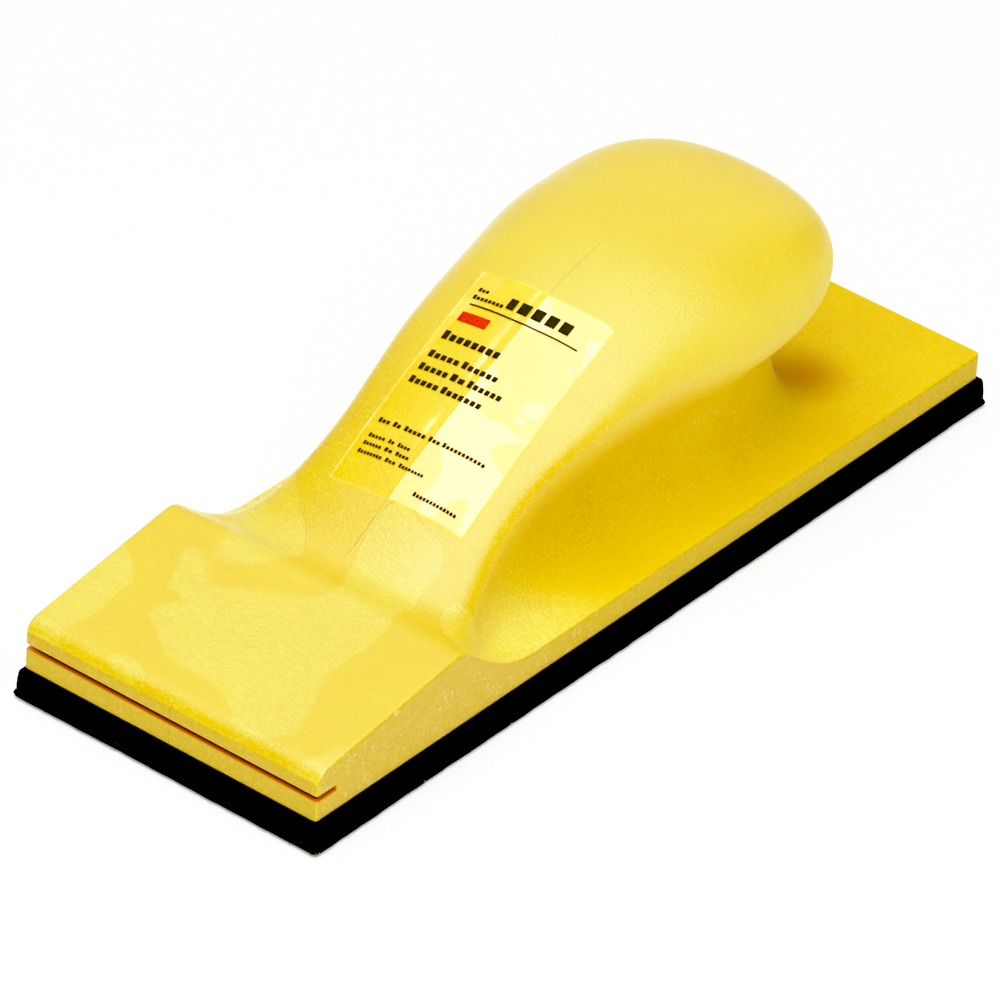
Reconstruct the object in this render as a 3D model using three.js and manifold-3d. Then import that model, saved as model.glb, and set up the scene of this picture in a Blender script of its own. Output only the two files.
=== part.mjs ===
// Hand sanding block: a moulded polyurethane body with a palm grip, a foam pad and a
// hook-and-loop face. Millimetres, Z up. X runs from the nose (-X) to the heel (+X), Y across
// the block, and the working face lies at Z = 0 with its centre at the origin.

import * as THREE from "three";
import { mergeVertices } from "three/addons/utils/BufferGeometryUtils.js";
import Module from "manifold-3d";

const wasm = await Module();
wasm.setup();

// ---- Driving dimensions ----

const FACE_LENGTH = 197;
const FACE_WIDTH = 70;
const PAD_CORNER_RADIUS = 1.5;
const FACE_THICKNESS = 1.4;
const FILM_THICKNESS = 0.2;
const PAD_THICKNESS = 4.6;

const BASE_LENGTH = 195.2;
const BASE_WIDTH = 68;
const BASE_THICKNESS = 5.6;

const DECK_CREST_X = -58;
const DECK_CREST_RISE = 10.7;
const DECK_SLOPE = 0.156;
const DECK_FALL_LENGTH = 24;
const DECK_CREST_BLEND = 1.6;
const NOSE_RADIUS = 3;

const SLOT_DEPTH = 5.3;
const SLOT_HEIGHT = 1.15;
const SLOT_TOP_BELOW_SLAB = 0.15;

// The grip's cross-sections run across X up to this axis, and fan out round it at the back.
const HEEL_AXIS_X = 35;
const HEEL_REACH = { rim: 31.8, neck: 25.7, foot: 34 };
const HEEL_SQUARENESS = { rim: 3, neck: 2.8, foot: 2.4 };
const HEEL_RIM_RISE = 39.2;

const LABEL_LENGTH = 50;
const LABEL_WIDTH = 30;
const LABEL_THICKNESS = 0.3;
const LABEL_GAP = 0.3;
const LABEL_CENTRE = { x: -16.2, y: -1 };
const LABEL_TURN = THREE.MathUtils.degToRad(2.2);

// ---- Derived levels ----

const HALF_LENGTH = BASE_LENGTH / 2;
const HALF_WIDTH = BASE_WIDTH / 2;
const FACE_FILM_Z = FACE_THICKNESS;
const PAD_Z = FACE_FILM_Z + FILM_THICKNESS;
const BODY_FILM_Z = PAD_Z + PAD_THICKNESS;
const BODY_Z = BODY_FILM_Z + FILM_THICKNESS;
const SLAB_Z = BODY_Z + BASE_THICKNESS;

// ---- The grip's lines, as [x, value] knots from its toe to the heel axis ----
// Rises are measured from the top of the slab, half-widths from the centre plane.

const RIDGE_RISE = smoothLine([
  [-62, 0], [-48.5, 10.5], [-39, 17.4], [-15, 30.8], [8, 41.5], [22, 45.5], [HEEL_AXIS_X, 46.8],
]);
const RIM_RISE = smoothLine([
  [-55, 0.5], [-45, 6.3], [-35, 13.3], [-24, 20.5], [-8, 27.3], [15, 30.6], [HEEL_AXIS_X, 30.6],
]);
const RIM_HALF_WIDTH = smoothLine([
  [-55, 34], [-45, 26.3], [-35, 22.5], [-24, 21.5], [-8, 23.7], [15, 27.1], [HEEL_AXIS_X, 30.2],
]);
const NECK_RISE = smoothLine([
  [-55, 0], [-45, 3.6], [-35, 7.4], [-24, 9.2], [0, 10.5], [HEEL_AXIS_X, 12.5],
]);
const NECK_HALF_WIDTH = smoothLine([
  [-55, 34.6], [-45, 27], [-35, 22.5], [-24, 19.5], [0, 17], [HEEL_AXIS_X, 20],
]);
const FOOT_HALF_WIDTH = smoothLine([
  [-55, 34], [-45, 33.8], [-24, 31], [0, 28.5], [HEEL_AXIS_X, 29.5],
]);

// Where the grip fades into the deck, its lines stop this far short of the block's side.
const SIDE_MARGIN = { rim: 2, neck: 1.3, foot: 0.6 };
// The crown is a superellipse, rounder along Z than across.
const CROWN_SQUARENESS = 2.7;
// How far the flank's curve keeps upright above the neck and below the rim.
const FLANK_LIFT = 0.42;
const FLANK_DROP = 0.34;
// A cubic that stands in for a quarter of an ellipse.
const QUARTER_ARC = 0.56;

// A natural cubic spline through the knots, level at the last one and straight before the first.
function smoothLine(knots) {
  const end = knots[knots.length - 1][0];
  const mirrored = knots.slice(0, -1).reverse().map(([x, value]) => [2 * end - x, value]);
  const points = [...knots, ...mirrored];
  const count = points.length;
  const step = (i) => points[i + 1][0] - points[i][0];
  const slope = (i) => (points[i + 1][1] - points[i][1]) / step(i);
  const bend = new Array(count).fill(0);
  const carry = new Array(count).fill(0);
  for (let i = 1; i < count - 1; i++) {
    const pivot = 2 * (step(i - 1) + step(i)) - step(i - 1) * carry[i - 1];
    carry[i] = step(i) / pivot;
    bend[i] = (6 * (slope(i) - slope(i - 1)) - step(i - 1) * bend[i - 1]) / pivot;
  }
  for (let i = count - 2; i > 0; i--) bend[i] -= carry[i] * bend[i + 1];
  const startSlope = slope(0) - (bend[1] * step(0)) / 6;
  return (x) => {
    if (x < points[0][0]) return points[0][1] + startSlope * (x - points[0][0]);
    const i = Math.max(0, points.findIndex(([knot]) => knot >= x) - 1);
    const before = (points[i + 1][0] - x) / step(i);
    const after = 1 - before;
    const straight = before * points[i][1] + after * points[i + 1][1];
    const curve = (before ** 3 - before) * bend[i] + (after ** 3 - after) * bend[i + 1];
    return straight + (curve * step(i) ** 2) / 6;
  };
}

// Rise of the deck above the slab: a wedge up to the crest, then a hollow fall to the slab.
function deckRise(x) {
  const front = DECK_CREST_RISE + DECK_SLOPE * (x - DECK_CREST_X);
  const along = THREE.MathUtils.clamp((x - DECK_CREST_X) / DECK_FALL_LENGTH, -0.2, 1);
  const back = DECK_CREST_RISE * (1 - along) ** 3 * (1 + 1.6 * along);
  const near = Math.max(DECK_CREST_BLEND - Math.abs(front - back), 0) / DECK_CREST_BLEND;
  const deck = Math.min(front, back) - (near * near * DECK_CREST_BLEND) / 4;
  const intoNose = NOSE_RADIUS - (x + HALF_LENGTH);
  if (intoNose <= 0) return deck;
  return deck - NOSE_RADIUS + Math.sqrt(Math.max(NOSE_RADIUS ** 2 - intoNose ** 2, 0));
}

const onDeck = (rise, deck) => SLAB_Z + Math.hypot(Math.max(rise, 0), deck);

// ---- Cross-sections of the grip ----

function linesAt(x) {
  const ridge = Math.max(RIDGE_RISE(x), 0);
  const rimRise = Math.min(Math.max(RIM_RISE(x), 0), ridge);
  return {
    edge: HALF_WIDTH,
    ridge,
    rim: [Math.min(RIM_HALF_WIDTH(x), HALF_WIDTH - SIDE_MARGIN.rim), rimRise],
    neck: [
      Math.min(NECK_HALF_WIDTH(x), HALF_WIDTH - SIDE_MARGIN.neck),
      Math.min(Math.max(NECK_RISE(x), 0), 0.6 * rimRise),
    ],
    foot: Math.min(FOOT_HALF_WIDTH(x), HALF_WIDTH - SIDE_MARGIN.foot),
  };
}

// The same lines in a plane turned round the heel axis: 90 degrees faces sideways, 0 backwards.
function linesRoundHeel(angle) {
  const side = linesAt(HEEL_AXIS_X);
  const back = Math.cos(angle);
  const across = Math.sin(angle);
  const reach = (name, width) => {
    const power = HEEL_SQUARENESS[name];
    return ((back / HEEL_REACH[name]) ** power + (across / width) ** power) ** (-1 / power);
  };
  const share = across * across;
  return {
    edge: Math.min(HALF_WIDTH / across, (HALF_LENGTH - HEEL_AXIS_X) / back),
    ridge: side.ridge,
    rim: [reach("rim", side.rim[0]), side.rim[1] * share + HEEL_RIM_RISE * (1 - share)],
    neck: [reach("neck", side.neck[0]), side.neck[1]],
    foot: reach("foot", side.foot),
  };
}

const crownRise = (lines, out) => {
  const share = 1 - Math.min(out / lines.rim[0], 1) ** CROWN_SQUARENESS;
  return lines.rim[1] + (lines.ridge - lines.rim[1]) * Math.sqrt(share);
};

// One section from the block's edge to the centre, as [distance from centre, rise] points.
const SECTION_STEPS = { slab: 3, fillet: 5, flank: 6, crown: 9 };

function sectionPoints(lines) {
  const [rimOut, rimRise] = lines.rim;
  const [neckOut, neckRise] = lines.neck;
  const points = [];
  const curve = (corners, steps) => {
    const bezier = new THREE.CubicBezierCurve(...corners.map(([out, rise]) => new THREE.Vector2(out, rise)));
    for (let i = 0; i < steps; i++) points.push(bezier.getPoint(i / steps).toArray());
  };
  for (let i = 0; i < SECTION_STEPS.slab; i++) {
    points.push([THREE.MathUtils.lerp(lines.edge, lines.foot, i / SECTION_STEPS.slab), 0]);
  }
  curve([
    [lines.foot, 0],
    [lines.foot + (neckOut - lines.foot) * QUARTER_ARC, 0],
    [neckOut, neckRise * (1 - QUARTER_ARC)],
    [neckOut, neckRise],
  ], SECTION_STEPS.fillet);
  curve([
    [neckOut, neckRise],
    [neckOut, neckRise + (rimRise - neckRise) * FLANK_LIFT],
    [rimOut, rimRise - (rimRise - neckRise) * FLANK_DROP],
    [rimOut, rimRise],
  ], SECTION_STEPS.flank);
  for (let i = 0; i <= SECTION_STEPS.crown; i++) {
    const turn = (i / SECTION_STEPS.crown) * (Math.PI / 2);
    const out = i === SECTION_STEPS.crown ? 0 : rimOut * Math.cos(turn) ** (2 / CROWN_SQUARENESS);
    points.push([out, crownRise(lines, out)]);
  }
  return points;
}

// ---- The body's skin: rows of points on the -Y half, from the nose round to the heel ----

function evenSteps(from, to, count) {
  return Array.from({ length: count }, (_, i) => THREE.MathUtils.lerp(from, to, (i + 1) / count));
}

function skinRows() {
  const noseSteps = 4;
  const nose = [0, ...evenSteps(0, Math.PI / 2, noseSteps)];
  const stations = [
    ...nose.map((turn) => -HALF_LENGTH + NOSE_RADIUS * (1 - Math.cos(turn))),
    DECK_CREST_X - 4,
    ...evenSteps(DECK_CREST_X - 2, DECK_CREST_X + 2, 4),
    ...evenSteps(DECK_CREST_X + 2, -30, 13),
    ...evenSteps(-30, HEEL_AXIS_X, 13),
  ];
  const cornerAngle = Math.atan2(HALF_WIDTH, HALF_LENGTH - HEEL_AXIS_X);
  const angles = [...evenSteps(Math.PI / 2, cornerAngle, 8), ...evenSteps(cornerAngle, 0, 4)];
  const rows = stations.map((x) => {
    const deck = deckRise(x);
    return sectionPoints(linesAt(x)).map(([out, rise]) => [x, -out, onDeck(rise, deck)]);
  });
  for (const angle of angles) {
    const [back, across] = angle === 0 ? [1, 0] : [Math.cos(angle), Math.sin(angle)];
    const place = ([out, rise]) => [HEEL_AXIS_X + out * back, -out * across, SLAB_Z + rise];
    rows.push(sectionPoints(linesRoundHeel(angle)).map(place));
  }
  return rows;
}

// ---- Mesh helpers ----

// A mesh from triangles of [x, y, z] corners, with its shared corners merged.
function meshFromTriangles(triangles) {
  const geometry = new THREE.BufferGeometry();
  geometry.setAttribute("position", new THREE.Float32BufferAttribute(triangles.flat(2), 3));
  return withoutSlivers(mergeVertices(geometry, 1e-4));
}

function withoutSlivers(geometry) {
  const index = Array.from(geometry.index.array);
  const kept = [];
  for (let i = 0; i < index.length; i += 3) {
    const [a, b, c] = index.slice(i, i + 3);
    if (a !== b && b !== c && c !== a) kept.push(a, b, c);
  }
  geometry.setIndex(kept);
  return geometry;
}

function toSolid(geometry) {
  const bare = new THREE.BufferGeometry();
  bare.setAttribute("position", geometry.getAttribute("position").clone());
  bare.setIndex(geometry.index);
  const merged = mergeVertices(bare);
  const vertProperties = new Float32Array(merged.getAttribute("position").array);
  const triVerts = new Uint32Array(merged.index.array);
  return new wasm.Manifold(new wasm.Mesh({ numProp: 3, vertProperties, triVerts }));
}

function fromSolid(solid) {
  const mesh = solid.getMesh();
  const geometry = new THREE.BufferGeometry();
  geometry.setAttribute("position", new THREE.BufferAttribute(mesh.vertProperties, 3));
  geometry.setIndex(new THREE.BufferAttribute(mesh.triVerts, 1));
  return geometry;
}

function material(color, roughness) {
  return new THREE.MeshStandardMaterial({ color, roughness, metalness: 0 });
}

function named(name, geometry, finish) {
  geometry.computeVertexNormals();
  const mesh = new THREE.Mesh(geometry, finish);
  mesh.name = name;
  return mesh;
}

// ---- Pieces ----

// The moulded body: slab, deck and grip in one, with the sheet slot cut into its nose.
function makeBody() {
  const rows = skinRows();
  const half = [];
  const quad = (a, b, c, d) => half.push([a, b, c], [a, c, d]);
  const below = ([x, y]) => [x, y, BODY_Z];
  for (let r = 0; r < rows.length - 1; r++) {
    const [row, next] = [rows[r], rows[r + 1]];
    for (let c = 0; c < row.length - 1; c++) quad(row[c], next[c], next[c + 1], row[c + 1]);
    quad(below(row[0]), below(next[0]), next[0], row[0]);
    const centre = (points) => below(points[points.length - 1]);
    quad(below(row[0]), centre(row), centre(next), below(next[0]));
  }
  const nose = rows[0];
  const noseFoot = [nose[0][0], 0, BODY_Z];
  half.push([noseFoot, below(nose[0]), nose[0]]);
  for (let c = 0; c < nose.length - 1; c++) half.push([noseFoot, nose[c], nose[c + 1]]);
  const mirror = ([x, y, z]) => [x, -y, z];
  const otherHalf = half.map(([a, b, c]) => [mirror(a), mirror(c), mirror(b)]);
  const tidy = ([x, y, z]) => [x, y === 0 ? 0 : y, z];
  const solid = toSolid(meshFromTriangles([...half, ...otherHalf].map((corners) => corners.map(tidy))));

  const slotBox = new THREE.BoxGeometry(2 * SLOT_DEPTH, FACE_WIDTH, SLOT_HEIGHT);
  slotBox.translate(-HALF_LENGTH, 0, SLAB_Z - SLOT_TOP_BELOW_SLAB - SLOT_HEIGHT / 2);
  slotBox.deleteAttribute("normal");
  slotBox.deleteAttribute("uv");
  return named("body", fromSolid(solid.subtract(toSolid(slotBox))), material(0xf2d21e, 0.45));
}

// A flat layer of the pad with slightly rounded corners, standing on the height z.
function makeLayer(name, length, width, z, thickness, finish) {
  const shape = new THREE.Shape();
  const [a, b, r] = [length / 2, width / 2, PAD_CORNER_RADIUS];
  shape.moveTo(-a + r, -b);
  shape.absarc(a - r, -b + r, r, -Math.PI / 2, 0);
  shape.absarc(a - r, b - r, r, 0, Math.PI / 2);
  shape.absarc(-a + r, b - r, r, Math.PI / 2, Math.PI);
  shape.absarc(-a + r, -b + r, r, Math.PI, 1.5 * Math.PI);
  const geometry = new THREE.ExtrudeGeometry(shape, { depth: thickness, bevelEnabled: false, curveSegments: 4 });
  const position = geometry.getAttribute("position");
  for (let i = 0; i < position.count; i++) position.setZ(i, position.getZ(i) > 0 ? z + thickness : z);
  return named(name, geometry, finish);
}

// The clear label, a thin film that follows the crown of the grip.
function makeLabel() {
  const across = 10;
  const along = 14;
  const crown = (x, y) => onDeck(crownRise(linesAt(x), Math.abs(y)), deckRise(x));
  const frontSlope = (crown(LABEL_CENTRE.x + 1, 0) - crown(LABEL_CENTRE.x - 1, 0)) / 2;
  const flatLength = LABEL_LENGTH / Math.hypot(1, frontSlope);
  const point = (i, j, lift) => {
    const u = (i / along - 0.5) * flatLength;
    const v = (j / across - 0.5) * LABEL_WIDTH;
    const x = LABEL_CENTRE.x + u * Math.cos(LABEL_TURN) - v * Math.sin(LABEL_TURN);
    const y = LABEL_CENTRE.y + u * Math.sin(LABEL_TURN) + v * Math.cos(LABEL_TURN);
    const tiny = 0.01;
    const normal = new THREE.Vector3(
      crown(x - tiny, y) - crown(x + tiny, y),
      crown(x, y - tiny) - crown(x, y + tiny),
      2 * tiny,
    ).normalize();
    return new THREE.Vector3(x, y, crown(x, y)).addScaledVector(normal, lift).toArray();
  };
  const grid = (lift) => Array.from({ length: along + 1 }, (_, i) =>
    Array.from({ length: across + 1 }, (__, j) => point(i, j, lift)));
  const [under, over] = [grid(LABEL_GAP), grid(LABEL_GAP + LABEL_THICKNESS)];
  const triangles = [];
  const quad = (a, b, c, d) => triangles.push([a, b, c], [a, c, d]);
  for (let i = 0; i < along; i++) {
    for (let j = 0; j < across; j++) {
      quad(over[i][j], over[i + 1][j], over[i + 1][j + 1], over[i][j + 1]);
      quad(under[i][j], under[i][j + 1], under[i + 1][j + 1], under[i + 1][j]);
    }
    quad(under[i][0], under[i + 1][0], over[i + 1][0], over[i][0]);
    quad(under[i + 1][across], under[i][across], over[i][across], over[i + 1][across]);
  }
  for (let j = 0; j < across; j++) {
    quad(under[0][j + 1], under[0][j], over[0][j], over[0][j + 1]);
    quad(under[along][j], under[along][j + 1], over[along][j + 1], over[along][j]);
  }
  return named("label_film", meshFromTriangles(triangles), material(0xf6e9a0, 0.15));
}

// ---- Assembly ----

const blackFabric = material(0x0c0c0d, 0.95);
const blackFoam = material(0x101011, 0.9);
const clearGlue = material(0x1c1a18, 0.5);

const block = new THREE.Group();
block.add(
  makeLayer("hook_face", FACE_LENGTH, FACE_WIDTH, 0, FACE_THICKNESS, blackFabric),
  makeLayer("face_adhesive", FACE_LENGTH, FACE_WIDTH, FACE_FILM_Z, FILM_THICKNESS, clearGlue),
  makeLayer("foam_pad", FACE_LENGTH, FACE_WIDTH, PAD_Z, PAD_THICKNESS, blackFoam),
  makeLayer("body_adhesive", BASE_LENGTH, BASE_WIDTH, BODY_FILM_Z, FILM_THICKNESS, clearGlue),
  makeBody(),
  makeLabel(),
);

export default block;
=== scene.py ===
"""The looks of a hand sanding block: a moulded polyurethane body with a palm grip and a clear label,
on a black foam pad with a hook-and-loop face. Shapes are worked out in millimetres in the frame's axes:
X from the nose (-X) to the heel (+X), Y across, Z up from the working face."""

import math

import bmesh
import bpy
import numpy as np
from mathutils import Matrix, Vector


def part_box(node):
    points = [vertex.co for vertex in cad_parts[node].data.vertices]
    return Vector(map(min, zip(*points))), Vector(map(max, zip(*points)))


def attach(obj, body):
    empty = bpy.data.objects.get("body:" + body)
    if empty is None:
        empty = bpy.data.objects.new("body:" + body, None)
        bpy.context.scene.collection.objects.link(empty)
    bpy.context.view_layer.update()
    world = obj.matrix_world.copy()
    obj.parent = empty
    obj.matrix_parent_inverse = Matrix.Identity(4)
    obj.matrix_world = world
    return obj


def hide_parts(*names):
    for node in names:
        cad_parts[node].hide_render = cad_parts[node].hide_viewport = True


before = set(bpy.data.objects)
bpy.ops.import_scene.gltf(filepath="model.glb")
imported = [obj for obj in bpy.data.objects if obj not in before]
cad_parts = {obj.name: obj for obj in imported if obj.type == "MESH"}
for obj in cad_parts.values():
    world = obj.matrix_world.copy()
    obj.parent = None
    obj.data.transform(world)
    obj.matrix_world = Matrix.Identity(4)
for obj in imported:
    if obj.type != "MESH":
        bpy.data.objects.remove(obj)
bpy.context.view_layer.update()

MM = 0.001

# ---- Sizes that the frame gives ----

BODY_LOW, BODY_HIGH = (np.array(corner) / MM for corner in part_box("body"))
PAD_LOW, PAD_HIGH = (np.array(corner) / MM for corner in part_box("foam_pad"))
FACE_LOW, FACE_HIGH = (np.array(corner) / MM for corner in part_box("hook_face"))

HALF_LENGTH = BODY_HIGH[0]
HALF_WIDTH = BODY_HIGH[1]
BODY_Z = BODY_LOW[2]
SLAB_THICKNESS = 5.6
SLAB_Z = BODY_Z + SLAB_THICKNESS
GRIP_RISE = BODY_HIGH[2] - SLAB_Z

# ---- The body's shape ----

DECK_CREST_X = -58
DECK_CREST_RISE = 10.7
DECK_SLOPE = 0.156
DECK_FALL_LENGTH = 24
DECK_CREST_BLEND = 1.6
NOSE_RADIUS = 3

SLOT_DEPTH = 5.3
SLOT_HEIGHT = 1.15
SLOT_TOP = SLAB_Z - 0.15
SLOT_FLOOR = SLOT_TOP - SLOT_HEIGHT
SLOT_END_X = -HALF_LENGTH + SLOT_DEPTH

EDGE_ROUND = 0.6
FOOT_ROUND = 0.4
SLOT_ROUND = 0.22
NOSE_CORNER_ROUND = 0.7
HEEL_CORNER_ROUND = 1.2

HEEL_AXIS_X = 35
HEEL_REACH = {"rim": 31.8, "neck": 25.7, "foot": 34}
HEEL_SQUARENESS = {"rim": 3, "neck": 2.8, "foot": 2.4}
HEEL_RIM_RISE = 39.2
CROWN_SQUARENESS = 2.7
FLANK_LIFT = 0.42
FLANK_DROP = 0.34
QUARTER_ARC = 0.56

PARTING_HEIGHT = 0.07
PARTING_WIDTH = 0.16
PARTING_START_X = -51
PARTING_END_X = 25

LABEL_LENGTH = 50
LABEL_WIDTH = 30
LABEL_CENTRE = (-16.2, -1)
LABEL_TURN = math.radians(2.2)
LABEL_THICKNESS = 0.08
# The film and its printing are lifted off the crown by the bed and then by these.
LABEL_BED = 0.03
LABEL_GAP = 0.05
INK_TOP = LABEL_GAP + LABEL_THICKNESS + 0.016
INK_THICKNESS = 0.012


def smooth_line(*knots):
    """A natural cubic spline through (x, value) knots, level at the last and straight before the first."""
    end = knots[-1][0]
    points = list(knots) + [(2 * end - x, value) for x, value in reversed(knots[:-1])]
    x, y = np.array(points, float).T
    step, count = np.diff(x), len(x)
    matrix, right = np.eye(count), np.zeros(count)
    for i in range(1, count - 1):
        matrix[i, i - 1 : i + 2] = step[i - 1], 2 * (step[i - 1] + step[i]), step[i]
        right[i] = 6 * ((y[i + 1] - y[i]) / step[i] - (y[i] - y[i - 1]) / step[i - 1])
    bend = np.linalg.solve(matrix, right)
    start_slope = (y[1] - y[0]) / step[0] - bend[1] * step[0] / 6

    def value(at):
        at = np.asarray(at, float)
        i = np.clip(np.searchsorted(x, at) - 1, 0, count - 2)
        before = (x[i + 1] - at) / step[i]
        after = 1 - before
        curve = (before**3 - before) * bend[i] + (after**3 - after) * bend[i + 1]
        inside = before * y[i] + after * y[i + 1] + curve * step[i] ** 2 / 6
        return np.where(at < x[0], y[0] + start_slope * (at - x[0]), inside)

    return value


# Rises are measured from the top of the slab, half-widths from the centre plane.
ridge_rise = smooth_line(
    (-62, 0), (-48.5, 10.5), (-39, 17.4), (-15, 30.8), (8, 41.5), (22, 45.5), (HEEL_AXIS_X, GRIP_RISE)
)
rim_rise = smooth_line(
    (-55, 0.5), (-45, 6.3), (-35, 13.3), (-24, 20.5), (-8, 27.3), (15, 30.6), (HEEL_AXIS_X, 30.6)
)
rim_half_width = smooth_line(
    (-55, 34), (-45, 26.3), (-35, 22.5), (-24, 21.5), (-8, 23.7), (15, 27.1), (HEEL_AXIS_X, 30.2)
)
neck_rise = smooth_line((-55, 0), (-45, 3.6), (-35, 7.4), (-24, 9.2), (0, 10.5), (HEEL_AXIS_X, 12.5))
neck_half_width = smooth_line(
    (-55, 34.6), (-45, 27), (-35, 22.5), (-24, 19.5), (0, 17), (HEEL_AXIS_X, 20)
)
foot_half_width = smooth_line((-55, 34), (-45, 33.8), (-24, 31), (0, 28.5), (HEEL_AXIS_X, 29.5))
SIDE_MARGIN = {"rim": 2, "neck": 1.5, "foot": EDGE_ROUND + 0.3}


def deck_rise(x):
    """The deck above the slab: a wedge up to the crest, then a hollow fall to the slab."""
    x = np.asarray(x, float)
    front = DECK_CREST_RISE + DECK_SLOPE * (x - DECK_CREST_X)
    along = np.clip((x - DECK_CREST_X) / DECK_FALL_LENGTH, -0.2, 1)
    back = DECK_CREST_RISE * (1 - along) ** 3 * (1 + 1.6 * along)
    near = np.maximum(DECK_CREST_BLEND - abs(front - back), 0) / DECK_CREST_BLEND
    deck = np.minimum(front, back) - near**2 * DECK_CREST_BLEND / 4
    into_nose = np.clip(NOSE_RADIUS - (x + HALF_LENGTH), 0, NOSE_RADIUS)
    return deck - NOSE_RADIUS + np.sqrt(NOSE_RADIUS**2 - into_nose**2)


def on_deck(rise, deck):
    return SLAB_Z + np.hypot(np.maximum(rise, 0), deck)


def crown_rise(ridge, rim, out):
    share = 1 - np.minimum(out / rim[0], 1) ** CROWN_SQUARENESS
    return rim[1] + (ridge - rim[1]) * np.sqrt(share)


def lines_at(x):
    """The grip's lines at x: ridge rise, (out, rise) of the rim and neck, and the foot's half-width."""
    ridge = np.maximum(ridge_rise(x), 0)
    rim = np.minimum(rim_half_width(x), HALF_WIDTH - SIDE_MARGIN["rim"]), np.clip(rim_rise(x), 0, ridge)
    neck_out = np.minimum(neck_half_width(x), HALF_WIDTH - SIDE_MARGIN["neck"])
    neck = neck_out, np.clip(neck_rise(x), 0, 0.6 * rim[1])
    foot = np.minimum(foot_half_width(x), HALF_WIDTH - SIDE_MARGIN["foot"])
    return ridge, rim, neck, foot


def lines_round_heel(angle):
    """The same lines in a plane turned round the heel axis: 90 degrees faces sideways, 0 backwards."""
    ridge, rim, neck, foot = lines_at(HEEL_AXIS_X)
    back, across = abs(math.cos(angle)), abs(math.sin(angle))

    def reach(name, width):
        power = HEEL_SQUARENESS[name]
        return ((back / HEEL_REACH[name]) ** power + (across / width) ** power) ** (-1 / power)

    rise = rim[1] * across**2 + HEEL_RIM_RISE * back**2
    return ridge, (reach("rim", rim[0]), rise), (reach("neck", neck[0]), neck[1]), reach("foot", foot)


def top_z(x, y):
    """Height of the crown of the grip ahead of the heel axis."""
    ridge, rim, _, _ = lines_at(x)
    return on_deck(crown_rise(ridge, rim, abs(y)), deck_rise(x))


def parting_line(x, y, z):
    """The point with the fine raised line of the mould's parting added, on the nose and along the grip."""
    height = PARTING_HEIGHT * math.exp(-((y / PARTING_WIDTH) ** 2))
    on_grip = np.clip((x - PARTING_START_X) / 2, 0, 1) * np.clip((PARTING_END_X - x) / 2, 0, 1)
    on_nose = np.clip(1 - (x + HALF_LENGTH) / 0.6, 0, 1)
    return x - height * on_nose, y, z + (height * on_grip if z > SLAB_Z else 0)


# ---- Mesh helpers ----

class Surface:
    """Points in millimetres and faces, gathered piece by piece and welded into one mesh."""

    def __init__(self):
        self.points, self.faces = [], []

    def add(self, points):
        start = sum(len(block) for block in self.points)
        self.points.append(np.asarray(points, float).reshape(-1, 3))
        return np.arange(start, start + len(self.points[-1]))

    def strip(self, a, b):
        self.faces += [(a[i], a[i + 1], b[i + 1], b[i]) for i in range(len(a) - 1)]

    def grid(self, rows, closed=False):
        for a, b in zip(rows, rows[1:] + rows[:1] if closed else rows[1:]):
            self.strip(a, b)

    def face(self, corners):
        self.faces.append(tuple(corners))

    def build(self, name, weld=0.002, smooth=True):
        mesh = bpy.data.meshes.new(name)
        points = np.concatenate(self.points) * MM
        mesh.from_pydata(points.tolist(), [], [tuple(int(i) for i in face) for face in self.faces])
        work = bmesh.new()
        work.from_mesh(mesh)
        if weld:
            bmesh.ops.remove_doubles(work, verts=work.verts, dist=weld * MM)
            bmesh.ops.dissolve_degenerate(work, edges=work.edges, dist=0.2 * weld * MM)
        bmesh.ops.recalc_face_normals(work, faces=work.faces)
        work.to_mesh(mesh)
        work.free()
        mesh.polygons.foreach_set("use_smooth", [smooth] * len(mesh.polygons))
        made = bpy.data.objects.new(name, mesh)
        bpy.context.scene.collection.objects.link(made)
        return made


def weighted_normals(piece):
    modifier = piece.modifiers.new("flat_faces_stay_flat", "WEIGHTED_NORMAL")
    modifier.mode = "FACE_AREA"
    modifier.weight = 50
    modifier.keep_sharp = True


def cubic(corners, count):
    share = np.linspace(0, 1, count, endpoint=False)[:, None]
    a, b, c, d = (np.array(corner, float) for corner in corners)
    left = 1 - share
    return a * left**3 + 3 * b * share * left**2 + 3 * c * share**2 * left + d * share**3


# ---- The moulded body ----

SLAB_STEPS, FILLET_STEPS, FLANK_STEPS, CROWN_STEPS, ROUND_STEPS = 5, 14, 18, 30, 4
# How far the bends of the sections are eased: at the toe, and over the rest of the grip.
TOE_EASE, GRIP_EASE = 2.8, 0.8
EASE_FALL_X = -48
EASE_FALL_LENGTH = 30
# The last few points before the centre: close together at the parting line, spread where sections fan out.
PARTING_COLUMNS = (0.6, 0.36, 0.24, 0.14, 0.07, 0)
FAN_COLUMNS = (2.4, 1.8, 1.3, 0.8, 0.4, 0)


def softened(section, spread):
    """The section with its bends eased: each point becomes a local average along the curve."""
    step = 0.25
    runs = np.concatenate([[0], np.cumsum(np.hypot(*np.diff(section, axis=0).T))])
    even = np.arange(0, runs[-1] + step, step)
    curve = np.stack([np.interp(even, runs, column) for column in section.T], 1)
    pad = min(int(3 * spread / step) + 1, len(curve) - 1)
    before = 2 * curve[0] - curve[pad:0:-1]
    after = curve[-2 : -2 - pad : -1] * (-1, 1)
    weights = np.exp(-((np.arange(-pad, pad + 1) * step / spread) ** 2) / 2)
    weights /= weights.sum()
    whole = np.concatenate([before, curve, after])
    eased = np.stack([np.convolve(column, weights, "valid") for column in whole.T], 1)
    result = np.stack([np.interp(runs, even, column) for column in eased.T], 1)
    result[0], result[-1, 0] = section[0], 0
    return result


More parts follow.
